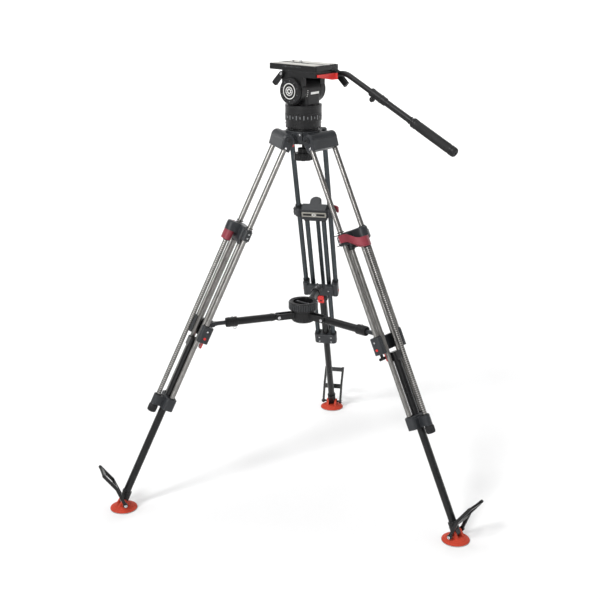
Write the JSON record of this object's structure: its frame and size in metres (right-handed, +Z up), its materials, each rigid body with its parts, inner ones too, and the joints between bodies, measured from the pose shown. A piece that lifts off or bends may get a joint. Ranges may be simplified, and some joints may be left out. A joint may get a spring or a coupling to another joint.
{
  "type": "fluid head tripod",
  "caption": "Three-leg two-stage camera tripod with mid-level spreader, levelling bowl, fluid pan and tilt head, sliding camera plate and a telescoping pan bar.",
  "frame": {"origin": "centre of the bounding box on the floor the feet stand on", "axes": "+Z up, +Y the way the lens looks, +X to the right of the camera, with the tilt dial on the -X side and the pan bar behind on the +X side"},
  "size_m": [1.2438, 1.0772, 1.428],
  "materials": {
    "charcoal": "matt charcoal paint on cast metal",
    "black_metal": "satin black anodised metal",
    "carbon": "glossy woven carbon fibre tube",
    "grey_metal": "dark grey satin tube",
    "knob_black": "moulded black plastic",
    "maroon": "satin dark red moulding",
    "red": "satin red moulding",
    "pad_red": "matt orange-red rubber",
    "grip_rubber": "matt black rubber grip",
    "steel": "bright machined steel"
  },
  "bodies": {
    "crown": {"crown": "charcoal"},
    "hub": {"hub_body": "black_metal"},
    "leg_front_left": {"yoke_front_left": "charcoal", "upper_tubes_front_left": "carbon", "lower_bracket_front_left": "charcoal"},
    "middle_front_left": {"clamp_housing_front_left": "charcoal", "mid_tubes_front_left": "carbon", "mid_bracket_front_left": "charcoal"},
    "lower_front_left": {"lower_stage_front_left": "black_metal"},
    "clamp_lever_front_left": {"clamp_lever_front_left": "maroon"},
    "lock_knob_front_left": {"lock_knob_front_left": "knob_black"},
    "foot_pad_front_left": {"foot_pad_front_left": "pad_red"},
    "foot_lever_front_left": {"foot_lever_front_left": "black_metal"},
    "release_lever_front_left": {"release_lever_front_left": "red"},
    "arm_inner_front_left": {"arm_inner_front_left": "black_metal"},
    "arm_outer_front_left": {"arm_outer_front_left": "grey_metal"},
    "leg_front_right": {"yoke_front_right": "charcoal", "upper_tubes_front_right": "carbon", "lower_bracket_front_right": "charcoal"},
    "middle_front_right": {"clamp_housing_front_right": "charcoal", "mid_tubes_front_right": "carbon", "mid_bracket_front_right": "charcoal"},
    "lower_front_right": {"lower_stage_front_right": "black_metal"},
    "clamp_lever_front_right": {"clamp_lever_front_right": "maroon"},
    "lock_knob_front_right": {"lock_knob_front_right": "knob_black"},
    "foot_pad_front_right": {"foot_pad_front_right": "pad_red"},
    "foot_lever_front_right": {"foot_lever_front_right": "black_metal"},
    "release_lever_front_right": {"release_lever_front_right": "red"},
    "arm_inner_front_right": {"arm_inner_front_right": "black_metal"},
    "arm_outer_front_right": {"arm_outer_front_right": "grey_metal"},
    "leg_rear": {"yoke_rear": "charcoal", "upper_tubes_rear": "carbon", "lower_bracket_rear": "charcoal"},
    "middle_rear": {"clamp_housing_rear": "charcoal", "mid_tubes_rear": "carbon", "mid_bracket_rear": "charcoal"},
    "lower_rear": {"lower_stage_rear": "black_metal"},
    "clamp_lever_rear": {"clamp_lever_rear": "maroon"},
    "lock_knob_rear": {"lock_knob_rear": "knob_black"},
    "foot_pad_rear": {"foot_pad_rear": "pad_red"},
    "foot_lever_rear": {"foot_lever_rear": "black_metal"},
    "release_lever_rear": {"release_lever_rear": "red"},
    "arm_inner_rear": {"arm_inner_rear": "black_metal"},
    "arm_outer_rear": {"arm_outer_rear": "grey_metal"},
    "ball": {"half_ball": "black_metal", "pan_base": "black_metal"},
    "tie_down_knob": {"tie_down_knob": "knob_black"},
    "pan_drag_ring": {"pan_drag_ring": "knob_black"},
    "pan_brake_lever": {"pan_brake_lever": "knob_black"},
    "head": {"head_body": "black_metal"},
    "tilt_frame": {"platform": "black_metal"},
    "tilt_drag_dial": {"tilt_drag_dial": "knob_black"},
    "tilt_brake_lever": {"tilt_brake_lever": "knob_black"},
    "camera_plate": {"camera_plate": "black_metal", "camera_screws": "steel"},
    "plate_release_lever": {"plate_release_lever": "red"},
    "pan_bar": {"pan_bar": "black_metal"},
    "bar_clamp_lever": {"bar_clamp_lever": "knob_black"},
    "bar_extension": {"bar_extension": "black_metal", "bar_grip": "grip_rubber"}
  },
  "joints": [
    {"name": "leg_hinge_front_left", "type": "hinge", "parent": "crown", "child": "leg_front_left", "pos_m": [-0.05889, 0.1916, 1.195], "axis": [-0.5, -0.866, 0], "range_deg": [0, 13.56]},
    {"name": "middle_slide_front_left", "type": "slide", "parent": "leg_front_left", "child": "middle_front_left", "axis": [-0.3736, 0.2157, -0.9022], "range_m": [-0.19, 0.18]},
    {"name": "lower_slide_front_left", "type": "slide", "parent": "middle_front_left", "child": "lower_front_left", "axis": [-0.3736, 0.2157, -0.9022], "range_m": [-0.265, 0.1]},
    {"name": "clamp_lever_hinge_front_left", "type": "hinge", "parent": "middle_front_left", "child": "clamp_lever_front_left", "pos_m": [-0.21673, 0.28273, 0.90195], "axis": [0.3736, -0.2157, 0.9022], "range_deg": [0, 90]},
    {"name": "lock_knob_turn_front_left", "type": "hinge", "parent": "middle_front_left", "child": "lock_knob_front_left", "pos_m": [-0.44687, 0.4156, 0.34622], "axis": [0.3736, -0.2157, 0.9022], "range_deg": [0, 90]},
    {"name": "ankle_front_left", "type": "hinge", "parent": "lower_front_left", "child": "foot_pad_front_left", "pos_m": [-0.543, 0.4711, 0.026], "axis": [0.5, 0.866, 0], "range_deg": [-20, 20]},
    {"name": "foot_lever_hinge_front_left", "type": "hinge", "parent": "lower_front_left", "child": "foot_lever_front_left", "pos_m": [-0.543, 0.4711, 0.026], "axis": [-0.5, -0.866, 0], "range_deg": [0, 55]},
    {"name": "release_lever_hinge_front_left", "type": "hinge", "parent": "leg_front_left", "child": "release_lever_front_left", "pos_m": [-0.29594, 0.32846, 0.55884], "axis": [-0.5, -0.866, 0], "range_deg": [0, 35]},
    {"name": "arm_inner_hinge_front_left", "type": "hinge", "parent": "hub", "child": "arm_inner_front_left", "pos_m": [-0.07638, 0.2017, 0.6066], "axis": [-0.5, -0.866, 0], "range_deg": [0, 70.9]},
    {"name": "arm_outer_hinge_front_left", "type": "hinge", "parent": "leg_front_left", "child": "arm_outer_front_left", "pos_m": [-0.268, 0.31233, 0.6066], "axis": [-0.5, -0.866, 0], "range_deg": [0, 57.34]},
    {"name": "leg_hinge_front_right", "type": "hinge", "parent": "crown", "child": "leg_front_right", "pos_m": [0.05889, 0.1916, 1.195], "axis": [-0.5, 0.866, 0], "range_deg": [0, 13.56]},
    {"name": "middle_slide_front_right", "type": "slide", "parent": "leg_front_right", "child": "middle_front_right", "axis": [0.3736, 0.2157, -0.9022], "range_m": [-0.19, 0.18]},
    {"name": "lower_slide_front_right", "type": "slide", "parent": "middle_front_right", "child": "lower_front_right", "axis": [0.3736, 0.2157, -0.9022], "range_m": [-0.265, 0.1]},
    {"name": "clamp_lever_hinge_front_right", "type": "hinge", "parent": "middle_front_right", "child": "clamp_lever_front_right", "pos_m": [0.21673, 0.28273, 0.90195], "axis": [-0.3736, -0.2157, 0.9022], "range_deg": [0, 90]},
    {"name": "lock_knob_turn_front_right", "type": "hinge", "parent": "middle_front_right", "child": "lock_knob_front_right", "pos_m": [0.44687, 0.4156, 0.34622], "axis": [-0.3736, -0.2157, 0.9022], "range_deg": [0, 90]},
    {"name": "ankle_front_right", "type": "hinge", "parent": "lower_front_right", "child": "foot_pad_front_right", "pos_m": [0.543, 0.4711, 0.026], "axis": [0.5, -0.866, 0], "range_deg": [-20, 20]},
    {"name": "foot_lever_hinge_front_right", "type": "hinge", "parent": "lower_front_right", "child": "foot_lever_front_right", "pos_m": [0.543, 0.4711, 0.026], "axis": [-0.5, 0.866, 0], "range_deg": [0, 55]},
    {"name": "release_lever_hinge_front_right", "type": "hinge", "parent": "leg_front_right", "child": "release_lever_front_right", "pos_m": [0.29594, 0.32846, 0.55884], "axis": [-0.5, 0.866, 0], "range_deg": [0, 35]},
    {"name": "arm_inner_hinge_front_right", "type": "hinge", "parent": "hub", "child": "arm_inner_front_right", "pos_m": [0.07638, 0.2017, 0.6066], "axis": [-0.5, 0.866, 0], "range_deg": [0, 70.9]},
    {"name": "arm_outer_hinge_front_right", "type": "hinge", "parent": "leg_front_right", "child": "arm_outer_front_right", "pos_m": [0.268, 0.31233, 0.6066], "axis": [-0.5, 0.866, 0], "range_deg": [0, 57.34]},
    {"name": "leg_hinge_rear", "type": "hinge", "parent": "crown", "child": "leg_rear", "pos_m": [0, 0.0896, 1.195], "axis": [1, 0, 0], "range_deg": [0, 13.56]},
    {"name": "middle_slide_rear", "type": "slide", "parent": "leg_rear", "child": "middle_rear", "axis": [0, -0.4314, -0.9022], "range_m": [-0.19, 0.18]},
    {"name": "lower_slide_rear", "type": "slide", "parent": "middle_rear", "child": "lower_rear", "axis": [0, -0.4314, -0.9022], "range_m": [-0.265, 0.1]},
    {"name": "clamp_lever_hinge_rear", "type": "hinge", "parent": "middle_rear", "child": "clamp_lever_rear", "pos_m": [0, -0.09265, 0.90195], "axis": [0, 0.4314, 0.9022], "range_deg": [0, 90]},
    {"name": "lock_knob_turn_rear", "type": "hinge", "parent": "middle_rear", "child": "lock_knob_rear", "pos_m": [0, -0.3584, 0.34622], "axis": [0, 0.4314, 0.9022], "range_deg": [0, 90]},
    {"name": "ankle_rear", "type": "hinge", "parent": "lower_rear", "child": "foot_pad_rear", "pos_m": [0, -0.4694, 0.026], "axis": [-1, 0, 0], "range_deg": [-20, 20]},
    {"name": "foot_lever_hinge_rear", "type": "hinge", "parent": "lower_rear", "child": "foot_lever_rear", "pos_m": [0, -0.4694, 0.026], "axis": [1, 0, 0], "range_deg": [0, 55]},
    {"name": "release_lever_hinge_rear", "type": "hinge", "parent": "leg_rear", "child": "release_lever_rear", "pos_m": [0, -0.18412, 0.55884], "axis": [1, 0, 0], "range_deg": [0, 35]},
    {"name": "arm_inner_hinge_rear", "type": "hinge", "parent": "hub", "child": "arm_inner_rear", "pos_m": [0, 0.0694, 0.6066], "axis": [1, 0, 0], "range_deg": [0, 70.9]},
    {"name": "arm_outer_hinge_rear", "type": "hinge", "parent": "leg_rear", "child": "arm_outer_rear", "pos_m": [0, -0.15186, 0.6066], "axis": [1, 0, 0], "range_deg": [0, 57.34]},
    {"name": "hub_rise", "type": "slide", "parent": "crown", "child": "hub", "axis": [0, 0, 1], "range_m": [0, 0.1675]},
    {"name": "ball_level", "type": "hinge", "parent": "crown", "child": "ball", "pos_m": [0, 0.1576, 1.222], "axis": [1, 0, 0], "range_deg": [-6, 6]},
    {"name": "tie_down_turn", "type": "hinge", "parent": "ball", "child": "tie_down_knob", "pos_m": [0, 0.1576, 1.14], "axis": [0, 0, 1], "continuous": true},
    {"name": "pan_drag_turn", "type": "hinge", "parent": "ball", "child": "pan_drag_ring", "pos_m": [0, 0.1576, 1.26], "axis": [0, 0, 1], "range_deg": [0, 270]},
    {"name": "pan_brake_hinge", "type": "hinge", "parent": "ball", "child": "pan_brake_lever", "pos_m": [0.04525, 0.20286, 1.237], "axis": [0, 0, 1], "range_deg": [0, 40]},
    {"name": "pan", "type": "hinge", "parent": "ball", "child": "head", "pos_m": [0, 0.1576, 1.284], "axis": [0, 0, 1], "continuous": true},
    {"name": "tilt", "type": "hinge", "parent": "head", "child": "tilt_frame", "pos_m": [0, 0.1576, 1.341], "axis": [1, 0, 0], "range_deg": [-70, 30]},
    {"name": "tilt_drag_turn", "type": "hinge", "parent": "tilt_frame", "child": "tilt_drag_dial", "pos_m": [-0.061, 0.1576, 1.341], "axis": [1, 0, 0], "range_deg": [0, 270]},
    {"name": "tilt_brake_hinge", "type": "hinge", "parent": "tilt_frame", "child": "tilt_brake_lever", "pos_m": [-0.06, 0.1936, 1.391], "axis": [1, 0, 0], "range_deg": [0, 50]},
    {"name": "plate_slide", "type": "slide", "parent": "tilt_frame", "child": "camera_plate", "axis": [0, 1, 0], "range_m": [-0.025, 0.025]},
    {"name": "plate_release_hinge", "type": "hinge", "parent": "tilt_frame", "child": "plate_release_lever", "pos_m": [0.034, 0.0566, 1.386], "axis": [0, 0, 1], "range_deg": [0, 35]},
    {"name": "pan_bar_hinge", "type": "hinge", "parent": "tilt_frame", "child": "pan_bar", "pos_m": [0.066, 0.0876, 1.388], "axis": [-1, 0, 0], "range_deg": [0, 75]},
    {"name": "bar_clamp_hinge", "type": "hinge", "parent": "tilt_frame", "child": "bar_clamp_lever", "pos_m": [0.08, 0.0876, 1.388], "axis": [-1, 0, 0], "range_deg": [0, 60]},
    {"name": "bar_extension_slide", "type": "slide", "parent": "pan_bar", "child": "bar_extension", "axis": [0, -0.8988, -0.4384], "range_m": [-0.06, 0.1]}
  ],
  "couplings": [
    {"joint": "arm_inner_hinge_front_left", "follows": "leg_hinge_front_left", "ratio": 5.2279},
    {"joint": "arm_outer_hinge_front_left", "follows": "leg_hinge_front_left", "ratio": 4.2279},
    {"joint": "leg_hinge_front_right", "follows": "leg_hinge_front_left", "ratio": 1},
    {"joint": "arm_inner_hinge_front_right", "follows": "leg_hinge_front_left", "ratio": 5.2279},
    {"joint": "arm_outer_hinge_front_right", "follows": "leg_hinge_front_left", "ratio": 4.2279},
    {"joint": "leg_hinge_rear", "follows": "leg_hinge_front_left", "ratio": 1},
    {"joint": "arm_inner_hinge_rear", "follows": "leg_hinge_front_left", "ratio": 5.2279},
    {"joint": "arm_outer_hinge_rear", "follows": "leg_hinge_front_left", "ratio": 4.2279},
    {"joint": "hub_rise", "follows": "leg_hinge_front_left", "m_per_rad": 0.70732}
  ]
}
